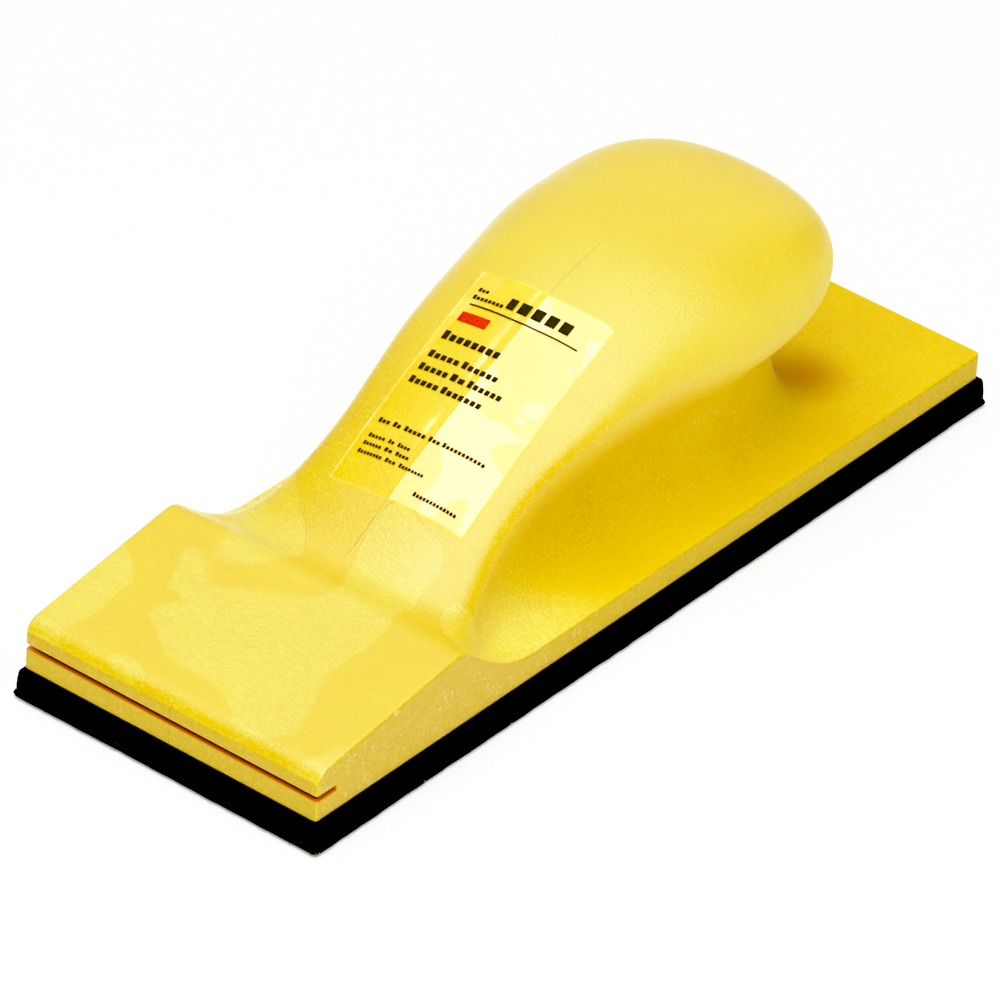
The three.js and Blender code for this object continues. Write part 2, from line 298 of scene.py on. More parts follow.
def top_section(ridge, rim, neck, foot, edge, ease, inner_columns):
    """(out, rise) points of a section from the rounded edge to the centre."""
    slab = np.stack([np.linspace(edge, foot, SLAB_STEPS, endpoint=False), np.zeros(SLAB_STEPS)], 1)
    arc = QUARTER_ARC
    fillet = cubic(
        [(foot, 0), (foot + (neck[0] - foot) * arc, 0), (neck[0], neck[1] * (1 - arc)), neck], FILLET_STEPS
    )
    height = rim[1] - neck[1]
    flank = cubic(
        [neck, (neck[0], neck[1] + height * FLANK_LIFT), (rim[0], rim[1] - height * FLANK_DROP), rim],
        FLANK_STEPS,
    )
    inner = inner_columns[0]
    turn = np.linspace(0, math.pi / 2, CROWN_STEPS, endpoint=False)
    out = np.concatenate([inner + (rim[0] - inner) * np.cos(turn), inner_columns])
    crown = np.stack([out, crown_rise(ridge, rim, out)], 1)
    section = np.concatenate([slab, fillet, flank, crown])
    return softened(section, ease) if ridge > 0.05 else section


def drawn_back(into, radius):
    """How far a rounded edge of this radius has drawn back at this distance in from its face."""
    short = max(radius - into, 0)
    return radius - math.sqrt(radius**2 - short**2)


# A distance in from the nose at which none of its roundings is left.
PAST_NOSE = 1000.0


def add_row(surface, place, edge, lines, deck, ease, inner_columns, into=PAST_NOSE):
    """Adds one half-section. place gives a point from (out, z), and edge how far out the inset wall is."""
    turn = np.linspace(0, math.pi / 2, ROUND_STEPS + 1)
    rising, falling = np.sin(turn), np.cos(turn)
    lift = drawn_back(into, FOOT_ROUND)
    mouth = drawn_back(into, SLOT_ROUND)
    open_share = np.clip((SLOT_DEPTH - into) / 0.3, 0, 1)
    inset_floor = SLOT_ROUND * open_share * (1 - falling)
    inset_roof = SLOT_ROUND * open_share * (1 - rising)
    low_z = SLOT_FLOOR - SLOT_ROUND
    high_z = SLOT_TOP + SLOT_ROUND
    shoulder_z = float(on_deck(0, deck)) - EDGE_ROUND
    # behind the slot, its levels are only lines on the wall, drawn down where the wall is low
    squeeze = min((shoulder_z - 0.4 - BODY_Z) / (high_z - BODY_Z), 1)
    low_z, high_z = (BODY_Z + (z - BODY_Z) * squeeze for z in (low_z, high_z))

    def path(insets, heights):
        return surface.add([place(edge(inset), z) for inset, z in zip(insets, heights)])

    wall_z = BODY_Z + FOOT_ROUND + np.array([0.15, 0.85]) * (low_z - BODY_Z - FOOT_ROUND)
    upper_z = high_z + np.array([0.15, 0.85]) * (shoulder_z - high_z)
    skirt = path(
        [*(FOOT_ROUND * (1 - rising)), 0, 0, *inset_floor],
        [
            *(BODY_Z + lift + (FOOT_ROUND - lift) * (1 - falling)),
            *wall_z,
            *(low_z + (SLOT_ROUND - mouth) * rising),
        ],
    )
    side = path(
        [*inset_roof, 0, 0, *(EDGE_ROUND * (1 - falling))],
        [*(high_z - (SLOT_ROUND - mouth) * falling), *upper_z, *(shoulder_z + EDGE_ROUND * rising)],
    )
    shape = top_section(*lines, edge(EDGE_ROUND), ease, inner_columns)
    runs = np.concatenate([[0], np.cumsum(np.hypot(*np.diff(shape[::-1], axis=0).T))])
    shares = runs / runs[-1]

    def flat(outer, z):
        return surface.add([place(share * outer, z) for share in shares])

    crown = [place(out, z) for out, z in zip(shape[:, 0], on_deck(shape[:, 1], deck))]
    row = {
        "bottom": flat(edge(FOOT_ROUND), BODY_Z + lift),
        "skirt": skirt,
        "side": side,
        "top": surface.add(crown[::-1]),
        "open": into <= SLOT_DEPTH,
    }
    if row["open"]:
        row["floor"] = flat(edge(inset_floor[-1]), SLOT_FLOOR - mouth)
        row["roof"] = flat(edge(inset_roof[0]), SLOT_TOP + mouth)
    return row


def heel_edge(angle, inset):
    """Distance from the heel axis to the rounded heel of the block, drawn in by inset."""
    back, across = math.cos(angle), abs(math.sin(angle))
    length, width = HALF_LENGTH - HEEL_AXIS_X - inset, HALF_WIDTH - inset
    radius = max(HEEL_CORNER_ROUND - inset, 0.05)
    if back * (width - radius) > across * length:
        return length / back
    if across * (length - radius) > back * width:
        return width / across
    centre = length - radius, width - radius
    along = back * centre[0] + across * centre[1]
    return along + math.sqrt(along**2 - centre[0] ** 2 - centre[1] ** 2 + radius**2)


def between(start, end, step):
    """Even steps after start, up to and including end."""
    return np.linspace(start, end, max(round(abs(end - start) / step), 1) + 1)[1:]


def body_stations():
    nose = NOSE_RADIUS * (1 - np.cos(np.linspace(0, math.pi / 2, 13)))
    slot_end = SLOT_DEPTH + np.array([-1.2, -0.3, -0.12, 0, 0.6])
    return np.concatenate([
        -HALF_LENGTH + nose,
        -HALF_LENGTH + slot_end,
        between(SLOT_END_X + 0.6, DECK_CREST_X - 3, 1.4),
        between(DECK_CREST_X - 3, DECK_CREST_X + 2, 0.28),
        between(DECK_CREST_X + 2, -34, 0.55),
        between(-34, HEEL_AXIS_X, 0.9),
    ])


def heel_angles():
    corner = math.atan2(HALF_WIDTH, HALF_LENGTH - HEEL_AXIS_X)
    spread = math.radians(1.6)
    step = math.radians(1.8)
    side = np.concatenate([
        between(math.pi / 2, corner + spread, step),
        between(corner + spread, corner - spread, spread / 4),
        between(corner - spread, 0, step),
    ])
    return np.concatenate([side, -side[-2::-1], [-math.pi / 2]])


def make_body():
    surface = Surface()
    stations = body_stations()

    def station_row(x, sign):
        into = x + HALF_LENGTH
        half = HALF_WIDTH - drawn_back(into, NOSE_CORNER_ROUND)
        # the rounded nose corners draw the lines in with the edge
        fit = half / HALF_WIDTH
        ridge, rim, neck, foot = (np.array(line, float) for line in lines_at(x))
        return add_row(
            surface,
            lambda out, z: parting_line(x, sign * out, z),
            lambda inset: half - inset,
            (ridge, rim * (fit, 1), neck * (fit, 1), foot * fit),
            float(deck_rise(x)),
            TOE_EASE + (GRIP_EASE - TOE_EASE) * float(np.clip((x - EASE_FALL_X) / EASE_FALL_LENGTH, 0, 1)),
            PARTING_COLUMNS,
            into,
        )

    def heel_row(angle):
        return add_row(
            surface,
            lambda out, z: (HEEL_AXIS_X + out * math.cos(angle), -out * math.sin(angle), z),
            lambda inset: heel_edge(angle, inset),
            lines_round_heel(angle),
            0.0,
            GRIP_EASE,
            FAN_COLUMNS,
        )

    right = [station_row(x, -1) for x in stations]
    left = [station_row(x, 1) for x in stations[::-1]]
    rows = right + [heel_row(angle) for angle in heel_angles()[:-1]] + left
    for a, b in zip(rows, rows[1:]):
        for name in ("bottom", "skirt", "side", "top"):
            surface.strip(a[name], b[name])
        if a["open"] and b["open"]:
            surface.strip(a["floor"], b["floor"])
            surface.strip(a["roof"], b["roof"])
        else:
            surface.face((a["skirt"][-1], b["skirt"][-1], b["side"][0], a["side"][0]))
    for half in (right, left):
        end = [row for row in half if row["open"]][-1 if half is right else 0]
        surface.strip(end["floor"], end["roof"])
    for nose in (rows[0], rows[-1]):
        surface.strip(nose["bottom"], nose["floor"])
        surface.strip(nose["roof"], nose["top"])
        surface.face([nose["bottom"][-1], *nose["skirt"], nose["floor"][-1]])
        surface.face([nose["roof"][-1], *nose["side"], nose["top"][-1]])
    body = surface.build("grip_body", weld=0.0004)
    weighted_normals(body)
    return body


# ---- The clear label and its printing ----

def label_point(down, across, lift):
    """A point above the crown, from distances down and across from the label's top left corner."""
    slope = float(top_z(LABEL_CENTRE[0] + 1, 0) - top_z(LABEL_CENTRE[0] - 1, 0)) / 2
    u = (LABEL_LENGTH / 2 - np.asarray(down, float)) / math.hypot(1, slope)
    v = LABEL_WIDTH / 2 - np.asarray(across, float)
    x = LABEL_CENTRE[0] + u * math.cos(LABEL_TURN) - v * math.sin(LABEL_TURN)
    y = LABEL_CENTRE[1] + u * math.sin(LABEL_TURN) + v * math.cos(LABEL_TURN)

    def height(x, y):
        # the film bridges the parting ridge as a low tent, and has a few shallow waves of its own
        tent = 1.1 * PARTING_HEIGHT * np.exp(-((y / 0.7) ** 2))
        waves = 0.009 * np.sin(0.55 * x + 0.3 * y) + 0.006 * np.sin(0.9 * y - 0.35 * x + 1)
        return top_z(x, y) + tent + waves

    tiny = 0.05
    normal = np.stack([
        height(x - tiny, y) - height(x + tiny, y),
        height(x, y - tiny) - height(x, y + tiny),
        np.full(np.shape(x), 2 * tiny),
    ], -1)
    normal /= np.linalg.norm(normal, axis=-1, keepdims=True)
    lift = np.asarray(lift, float) + LABEL_BED
    return np.stack([x, y, height(x, y)], -1) + normal * lift[..., None]


def add_film(surface, down, across, low, high, step):
    """A thin closed patch of film between two lifts above the crown."""
    downs = np.linspace(*down, max(round((down[1] - down[0]) / step), 1) + 1)
    acrosses = np.linspace(*across, max(round((across[1] - across[0]) / step), 1) + 1)
    d, a = np.meshgrid(downs, acrosses, indexing="ij")
    over = surface.add(label_point(d, a, np.full(d.shape, high))).reshape(d.shape)
    under = surface.add(label_point(d, a, np.full(d.shape, low))).reshape(d.shape)
    surface.grid([list(row) for row in over])
    surface.grid([list(row[::-1]) for row in under])
    rim = [*over[0], *over[1:, -1], *over[-1, -2::-1], *over[-2:0:-1, 0]]
    floor = [*under[0], *under[1:, -1], *under[-1, -2::-1], *under[-2:0:-1, 0]]
    surface.strip([*floor, floor[0]], [*rim, rim[0]])


def make_label():
    surface = Surface()
    add_film(surface, (0, LABEL_LENGTH), (0, LABEL_WIDTH), LABEL_GAP, LABEL_GAP + LABEL_THICKNESS, 0.5)
    label = surface.build("clear_label", weld=0)
    weighted_normals(label)
    return label


# Printed rows as (down, height, start, word lengths), with plain strokes in place of letters.
PRINT_GAP = 0.9
BLACK_ROWS = (
    (4.0, 0.9, 2.0, (2.2,)),
    (5.8, 1.0, 2.0, (6.6,)),
    (4.0, 2.5, 9.2, (1.6, 2.2, 2.2, 2.2, 2.2)),
    (8.0, 0.32, 2.4, (24.2,)),
    (14.9, 1.95, 1.9, (12.6,)),
    (19.7, 1.5, 1.9, (6.6, 7.8)),
    (22.8, 1.5, 1.9, (6.2, 2.9, 7.4)),
    (25.9, 1.5, 1.9, (6.2, 8.8)),
    (36.0, 1.0, 1.9, (2.3, 1.6, 4.6, 2.4)),
    (36.0, 1.0, 16.2, (9.4,)),
    (39.5, 0.8, 2.0, (3.5, 1.2, 2.6)),
    (41.2, 0.8, 2.0, (3.8, 1.6, 2.8)),
    (43.0, 0.8, 2.0, (5.2, 2.2, 5.4)),
    (46.6, 0.9, 17.0, (9.6,)),
)
RED_ROWS = ((10.1, 2.2, 2.3, (6.2,)),)


def strokes_for(length, height):
    """(offset, width, drop) of plain upright strokes in place of a word: a tall one, then lower ones."""
    count = max(round(length / (0.85 * height)), 1)
    if height < 0.5 or height > 2 or count < 2:
        return [(0, length, 0)]
    pitch = length / (count - 0.3)
    return [(i * pitch, 0.7 * pitch, 0 if i == 0 else 0.28 * height) for i in range(count)]


def make_print(name, rows):
    surface = Surface()
    for down, height, start, words in rows:
        for length in words:
            for offset, width, drop in strokes_for(length, height):
                rows_down = down + drop, down + height
                across = start + offset, start + offset + width
                add_film(surface, rows_down, across, INK_TOP - INK_THICKNESS, INK_TOP, 0.6)
            start += length + PRINT_GAP
    return surface.build(name, weld=0)


# ---- The pad's layers ----

PAD_CORNER = 0.7


def outline(length, width, corner, step):
    """Points and outward normals round a rectangle with rounded corners."""
    points, normals = [], []
    a, b = length / 2 - corner, width / 2 - corner
    for quarter, (cx, cy) in enumerate(((a, -b), (a, b), (-a, b), (-a, -b))):
        turn = np.linspace(-math.pi / 2, 0, 7) + quarter * math.pi / 2
        normal = np.stack([np.cos(turn), np.sin(turn)], 1)
        arc = np.array([cx, cy]) + corner * normal
        span = (width if quarter % 2 == 0 else length) - 2 * corner
        heading = np.array([-normal[-1][1], normal[-1][0]])
        run = between(0, span, step)[:-1, None] * heading + arc[-1]
        points += [arc, run]
        normals += [normal, np.repeat(normal[-1:], len(run), 0)]
    return np.concatenate(points), np.concatenate(normals)


def make_layer(name, low, high, profile, roughness, step, seed):
    """A closed layer. profile lists (share of height, inset) up the side, and roughness makes it uneven."""
    chance = np.random.default_rng(seed)
    points, normals = outline(high[0] - low[0], high[1] - low[1], PAD_CORNER, step)
    surface = Surface()
    count = len(points)
    wander = np.zeros(count)
    for period in (3, 7, 19, 41):
        phase = chance.uniform(0, 2 * math.pi)
        wander += np.sin(np.arange(count) * 2 * math.pi * round(count / period / 4) / count + phase)
    wander *= roughness / 4
    rings = []
    for share, inset in profile:
        jitter = chance.normal(0, roughness / 2, count) if 0 < share < 1 else np.zeros(count)
        place = points - normals * (inset + wander + jitter)[:, None]
        z = np.full(count, low[2] + share * (high[2] - low[2]))
        rings.append(surface.add(np.column_stack([place, z])))
    surface.grid([[*ring, ring[0]] for ring in rings])
    surface.face(rings[-1])
    surface.face(rings[0][::-1])
    layer = surface.build(name, weld=0)
    weighted_normals(layer)
    return layer


FOAM_PROFILE = (
    (0, 0), (0.05, -0.12), (0.13, -0.16), (0.25, -0.14), (0.4, -0.08), (0.55, 0), (0.7, 0.08),
    (0.82, 0.16), (0.9, 0.3), (0.96, 0.5), (1, 0.8),
)
FABRIC_PROFILE = ((0, -0.5), (0.25, -0.62), (0.5, -0.55), (0.75, -0.4), (1, -0.15))
HOOK_HEIGHT = 0.65
HOOK_RADIUS = 0.07
HOOK_PITCH = 2.0
HOOK_MARGIN = 1.3
FRAYED_REACH = 1.6


def tube(surface, path, radius, sides=4):
    """A thin closed thread along path."""
    path = np.asarray(path, float)
    ahead = np.gradient(path, axis=0)
    ahead /= np.linalg.norm(ahead, axis=1, keepdims=True)
    across = np.cross(ahead, (0.31, 0.17, 0.94))
    across /= np.linalg.norm(across, axis=1, keepdims=True)
    other = np.cross(ahead, across)
    turn = np.linspace(0, 2 * math.pi, sides, endpoint=False)
    rings = [
        surface.add(at + radius * (np.cos(turn)[:, None] * u + np.sin(turn)[:, None] * v))
        for at, u, v in zip(path, across, other)
    ]
    surface.grid([[*ring, ring[0]] for ring in rings])
    surface.face(rings[0][::-1])
    surface.face(rings[-1])


def make_hooks():
    """The field of small moulded hooks under the fabric, in staggered rows."""
    chance = np.random.default_rng(7)
    surface = Surface()
    base = FACE_LOW[2] + HOOK_HEIGHT
    turn = np.linspace(0, math.pi, 5)
    for i, x in enumerate(np.arange(FACE_LOW[0] + HOOK_MARGIN, FACE_HIGH[0] - HOOK_MARGIN, HOOK_PITCH)):
        shift = HOOK_PITCH / 2 * (i % 2)
        for y in np.arange(FACE_LOW[1] + HOOK_MARGIN + shift, FACE_HIGH[1] - HOOK_MARGIN, HOOK_PITCH):
            heading = chance.choice([-1, 1]) * math.pi / 2 + chance.normal(0, 0.25)
            aim = np.array([math.cos(heading), math.sin(heading), 0])
            size = 0.2 + chance.uniform(-0.02, 0.02)
            root = np.array([x, y, base + 0.05])
            bend = np.array([x, y, FACE_LOW[2] + HOOK_RADIUS + size])
            down = np.array([0, 0, -size])
            bow = [bend + aim * size * (1 - math.cos(t)) + down * math.sin(t) for t in turn]
            tube(surface, [root, *bow], HOOK_RADIUS, 3)
    return surface.build("hook_field", weld=0)


def make_edge_threads(name, count, longest, seed, radius, frayed=0.0):
    """Loose ends of yarn along the fabric's cut edge. The share frayed is at the nose's -Y corner."""
    chance = np.random.default_rng(seed)
    points, normals = outline(FACE_HIGH[0] - FACE_LOW[0], FACE_HIGH[1] - FACE_LOW[1], PAD_CORNER, 0.25)
    surface = Surface()
    middle = (FACE_LOW[2] + HOOK_HEIGHT + FACE_HIGH[2]) / 2
    from_corner = np.hypot(*(points - FACE_LOW[:2]).T)
    at_corner = from_corner < FRAYED_REACH
    likely = (1 - frayed) / len(points) + frayed * at_corner / sum(at_corner)
    for i in chance.choice(len(points), count, replace=False, p=likely):
        length = longest * chance.uniform(0.35, 1)
        lean = chance.normal(0, 0.8)
        along = np.array([-normals[i][1], normals[i][0], 0])
        out = np.array([*normals[i], 0])
        start = np.array([*points[i], middle + chance.uniform(-0.3, 0.15)]) - 0.3 * out
        droop = chance.uniform(-0.7, 0.25)
        steps = np.linspace(0, 1, 5)[:, None]
        path = start + out * (0.3 + length) * steps + along * lean * length * steps**2
        path = path + np.array([0, 0, droop * length]) * steps**2
        path[:, 2] = np.maximum(path[:, 2], FACE_LOW[2] + 2 * radius)
        tube(surface, path, radius)
    return surface.build(name, weld=0)


# ---- Finishes ----

class Finish:
    """A material built from procedural nodes in the object's own coordinates, in metres."""

    def __init__(self, name):
        self.material = bpy.data.materials.new(name)
        self.material.use_nodes = True
        self.nodes = self.material.node_tree.nodes
        self.links = self.material.node_tree.links
        self.shader = self.nodes["Principled BSDF"]
        self.output = self.nodes["Material Output"]
        self.place = self.node("ShaderNodeTexCoord").outputs["Object"]

    def node(self, kind, inputs=(), **settings):
        made = self.nodes.new(kind)
        for key, value in settings.items():
            setattr(made, key, value)
        for key, value in dict(inputs).items():
            self.feed(made.inputs[key], value)
        return made

    def feed(self, socket, value):
        if isinstance(value, bpy.types.NodeSocket):
            self.links.new(value, socket)
        else:
            socket.default_value = value

    def set(self, **inputs):
        for key, value in inputs.items():
            self.feed(self.shader.inputs[key.replace("_", " ")], value)

    def math(self, operation, a, b=0.0, clamp=False):
        made = self.node("ShaderNodeMath", {0: a, 1: b}, operation=operation)
        made.use_clamp = clamp
        return made.outputs[0]

    def times(self, first, *others):
        for other in others:
            first = self.math("MULTIPLY", first, other)
        return first

    def vector_math(self, operation, inputs):
        return self.node("ShaderNodeVectorMath", inputs, operation=operation)

    def noise(self, scale, detail=2.0, roughness=0.5, distortion=0.0, place=None):
        inputs = {
            "Vector": self.place if place is None else place,
            "Scale": scale,
            "Detail": detail,
            "Roughness": roughness,
            "Distortion": distortion,
        }
        return self.node("ShaderNodeTexNoise", inputs).outputs["Fac"]

    def voronoi(self, scale, output="Distance"):
        return self.node("ShaderNodeTexVoronoi", {"Vector": self.place, "Scale": scale}).outputs[output]

    def stretched(self, scale, turn=(0.0, 0.0, 0.0), place=None):
        inputs = {"Vector": self.place if place is None else place, "Scale": scale, "Rotation": turn}
        return self.node("ShaderNodeMapping", inputs).outputs[0]

    def warped(self, scale, amount):
        """The coordinates pushed about by a slow noise."""
        push = self.node("ShaderNodeTexNoise", {"Vector": self.place, "Scale": scale, "Detail": 1.0})
        centred = self.vector_math("SUBTRACT", {0: push.outputs["Color"], 1: (0.5,) * 3})
        sized = self.vector_math("SCALE", {0: centred.outputs[0], "Scale": amount})
        return self.vector_math("ADD", {0: self.place, 1: sized.outputs[0]}).outputs[0]

    def from_spot(self, spot, stretch=1.0):
        """Distance from a place that both sides have, with lengths along X drawn in by stretch."""
        x, y, z = self.split(self.place)
        inputs = {0: self.math("MULTIPLY", x, stretch), 1: self.math("ABSOLUTE", y), 2: z}
        mirrored = self.node("ShaderNodeCombineXYZ", inputs).outputs[0]
        target = (spot[0] * stretch, spot[1], spot[2])
        return self.vector_math("DISTANCE", {0: mirrored, 1: target}).outputs["Value"]

    def ramp(self, value, low, high):
        """0 below low and 1 above high, or the other way round if low is over high."""
        start, end = (0.0, 1.0) if low < high else (1.0, 0.0)
        inputs = {"Value": value, "From Min": min(low, high), "From Max": max(low, high)}
        inputs.update({"To Min": start, "To Max": end})
        return self.node("ShaderNodeMapRange", inputs, interpolation_type="SMOOTHSTEP").outputs[0]

    def blend(self, share, a, b):
        return self.node("ShaderNodeMix", {0: share, 6: a, 7: b}, data_type="RGBA").outputs[2]

    def mix(self, share, a, b):
        return self.node("ShaderNodeMix", {0: share, 2: a, 3: b}, data_type="FLOAT").outputs[0]

    def normal(self):
        return self.node("ShaderNodeNewGeometry").outputs["Normal"]

    def split(self, vector):
        return self.node("ShaderNodeSeparateXYZ", {0: vector}).outputs

    def bump(self, height, distance, strength=1.0, below=None):
        inputs = {"Height": height, "Distance": distance, "Strength": strength}
        if below is not None:
            inputs["Normal"] = below
        return self.node("ShaderNodeBump", inputs).outputs[0]


def color(red, green, blue):
    """A colour from its sRGB parts, 0 to 255."""
    parts = [part / 255 for part in (red, green, blue)]
    return (*[p / 12.92 if p <= 0.04045 else ((p + 0.055) / 1.055) ** 2.4 for p in parts], 1.0)


# Places on the body in metres. The two spots are on both of its sides. Each pair is where a mask fades.
TOE_SPOT = (-0.036, 0.032, 0.013)
# the centre of the painted shade behind the neck, under the head's overhang
PAINTED_SHADE_SPOT = (0.0675, 0.014, 0.0155)
HEAD_Z = (0.036, 0.05)
DULL_X = (-0.045, -0.02)
DECK_END_X = (-0.03, -0.045)
HAIRLESS_X = (0.03, -0.05)
BEHIND_DECK_START_X = (-0.056, -0.052)
BEHIND_DECK_END_X = (-0.02, -0.03)
# Lengths along the block count for this share in the toe's spot, which draws it out.
TOE_STRETCH = 0.4
# Points within this many millimetres of a wall's plane have the wall's finish.
WALL_SKIN = 0.15
# The value of the flow noise along the outlines of the glossier areas.
FLOW_EDGE = 0.507


def body_regions(f):
    """Masks for the parts of the body that differ in finish; the walls and the slot also get painted shade.
    """
    x, y, z = f.split(f.place)
    side = f.math("ABSOLUTE", y)
    nose = f.math("LESS_THAN", x, (WALL_SKIN - HALF_LENGTH) * MM)
    wall = f.math("MAXIMUM", nose, f.math("GREATER_THAN", side, (HALF_WIDTH - WALL_SKIN) * MM))
    # the slab and the foot of the grip behind the toe are less polished than the deck and the grip
    low = f.ramp(z, (SLAB_Z + 16) * MM, (SLAB_Z + 6) * MM)
    dull = f.times(low, f.ramp(x, *DULL_X))
    slot = f.times(
        f.math("LESS_THAN", z, (SLOT_TOP + 0.05) * MM),
        f.math("GREATER_THAN", z, (SLOT_FLOOR - 0.05) * MM),
        f.math("LESS_THAN", x, (SLOT_END_X + 0.1) * MM),
    )
    return nose, wall, dull, slot


def seam_mark(f):
    """The dark hairline along the parting ridge, on the nose and the grip."""
    x, y, _ = f.split(f.place)
    on_grip = f.ramp(x, PARTING_START_X * MM, (PARTING_START_X + 4) * MM)
    on_nose = f.math("LESS_THAN", x, (0.6 - HALF_LENGTH) * MM)
    line = f.ramp(f.math("ABSOLUTE", y), 0.00022, 0.0001)
    fade = f.ramp(x, PARTING_END_X * MM, (PARTING_END_X - 6) * MM)
    return f.times(line, f.math("MAXIMUM", on_grip, on_nose), fade)


def side_hair(f, nose, wall):
    """Short pale hairs on the walls, fainter on the nose and gone towards the heel."""
    x = f.split(f.place)[0]
    wander = f.noise(620.0, 1.0, 0.5, 0.0, f.warped(150.0, 0.006))
    lines = f.math("ABSOLUTE", f.math("SUBTRACT", wander, 0.5))
    hair = f.times(f.ramp(lines, 0.026, 0.006), f.ramp(f.noise(380.0, 1.0), 0.45, 0.55))
    return f.times(f.math("SUBTRACT", wall, f.times(nose, 0.7)), hair, f.ramp(x, *HAIRLESS_X))


def polyurethane():
    f = Finish("moulded_polyurethane")
    x, y, z = f.split(f.place)
    level = f.split(f.normal())[2]
    up = f.ramp(level, 0.3, 0.8)
    head = f.ramp(z, *HEAD_Z)
    nose, wall, dull, slot = body_regions(f)

    # broad glossier areas with definite outlines, where the skin set against the mould
    flow = f.noise(34.0, 1.5, 0.4, 0.6)
    on_deck = f.mix(f.ramp(x, *DECK_END_X), 0.1, 1.0)
    patch = f.math("SUBTRACT", f.times(f.ramp(flow, 0.492, 0.522), on_deck), wall, clamp=True)
    # and a brushed spot on each side of the toe, made paler by a painted highlight
    from_toe = f.math("ADD", f.from_spot(TOE_SPOT, TOE_STRETCH), f.times(flow, 0.012))
    toe = f.math("SUBTRACT", f.ramp(from_toe, 0.0175, 0.0085), wall, clamp=True)
    # short swirling strokes in two directions, as if brushed
    swirl = f.warped(45.0, 0.016)
    lengthwise = f.noise(2100.0, 2.0, 0.6, 0.0, f.stretched((1.0, 0.28, 1.0), (0, 0, 0.5), swirl))
    crosswise = f.noise(2100.0, 2.0, 0.6, 0.0, f.stretched((1.0, 0.28, 1.0), (0, 0, 1.9), swirl))
    strokes = f.mix(f.ramp(f.noise(55.0, 1.0), 0.46, 0.54), lengthwise, crosswise)
    fibres = f.times(f.ramp(strokes, 0.45, 0.62), f.mix(head, 1.0, 0.3))
    hair = side_hair(f, nose, wall)
    # sandy speckle, weakest on level faces and on the walls
    speckle = f.noise(1900.0, 2.0, 0.7)
    sandy = f.math("SUBTRACT", f.mix(f.ramp(level, 0.98, 0.8), 0.15, 0.4), f.times(wall, 0.2))
    grain = f.times(f.ramp(speckle, 0.5, 0.66), sandy)
    # a few tiny pits
    chosen = f.math("GREATER_THAN", f.split(f.voronoi(85.0, output="Color"))[0], 0.72)
    pit = f.times(f.ramp(f.voronoi(85.0), 0.03, 0.018), chosen)
    # hairlines round the flow marks just behind the deck
    outlines = f.times(
        f.ramp(f.math("ABSOLUTE", f.math("SUBTRACT", flow, FLOW_EDGE)), 0.0025, 0.001),
        f.ramp(x, *BEHIND_DECK_START_X),
        f.ramp(x, *BEHIND_DECK_END_X),
        up,
    )

    base = f.blend(f.ramp(f.noise(60.0, 2.0), 0.35, 0.65), color(224, 183, 0), color(226, 188, 0))
    # painted shade: the walls, the sides and the nose face, are darker than the top
    base = f.blend(wall, base, color(202, 168, 0))
    base = f.blend(f.times(patch, f.mix(fibres, 0.2, 0.45)), base, color(240, 220, 84))
    base = f.blend(f.times(fibres, f.mix(patch, 0.08, 0.2)), base, color(240, 216, 60))
    # painted highlight on the toe's brushed spot
    base = f.blend(f.times(toe, f.mix(fibres, 0.35, 0.8)), base, color(248, 232, 120))
    base = f.blend(grain, base, color(244, 224, 90))
    base = f.blend(f.times(hair, 0.4), base, color(250, 240, 170))
    # painted sheen: the head is paler, most of all on its sides
    painted_head_sheen = f.times(head, f.mix(f.ramp(level, 0.92, 0.5), 0.14, 0.42))
    base = f.blend(painted_head_sheen, base, color(246, 226, 110))
    # painted shade: deeper, more orange colours painted in where the light is shaded and bounces between
    # yellow walls: behind the neck under the head, and in the slot
    hollow = f.ramp(f.from_spot(PAINTED_SHADE_SPOT), 0.0135, 0.001)
    base = f.blend(f.times(hollow, 0.85), base, color(176, 100, 0))
    marks = f.math("MAXIMUM", f.times(pit, 0.5), f.times(seam_mark(f), 0.22))
    base = f.blend(f.math("MAXIMUM", marks, f.times(outlines, 0.25)), base, color(130, 90, 4))
    # painted shade in the slot: orange at its mouth, dark red deep inside
    from_side = f.math("SUBTRACT", HALF_WIDTH * MM, f.math("ABSOLUTE", y))
    depth = f.math("MINIMUM", f.math("ADD", x, HALF_LENGTH * MM), from_side)
    inside = f.blend(f.ramp(depth, 0.0004, 0.0016), color(226, 140, 0), color(120, 18, 0))
    base = f.blend(slot, base, inside)

    rough = f.math("SUBTRACT", f.mix(patch, 0.5, 0.4), f.times(fibres, 0.08))
    rough = f.math("ADD", rough, f.times(dull, 0.18))
    relief = f.bump(speckle, 0.00014, 0.6)
    relief = f.bump(strokes, 0.00014, f.mix(patch, 0.2, 0.5), relief)
    relief = f.bump(f.math("SUBTRACT", hair, f.times(pit, 3.0)), 0.00006, 0.6, relief)
    gloss = f.times(f.mix(patch, 0.75, 1.0), f.math("MAXIMUM", f.mix(dull, 1.0, 0.08), toe), up)
    f.set(Base_Color=base, Roughness=rough, Normal=relief)
    f.set(Coat_Weight=gloss, Coat_Roughness=0.32, Coat_IOR=1.75, Coat_Normal=relief)
    f.set(IOR=1.5, Sheen_Weight=0.1, Sheen_Roughness=0.35, Subsurface_Weight=0.15, Subsurface_Scale=0.003)
    f.set(Subsurface_Radius=(1.0, 0.5, 0.04))
    return f.material


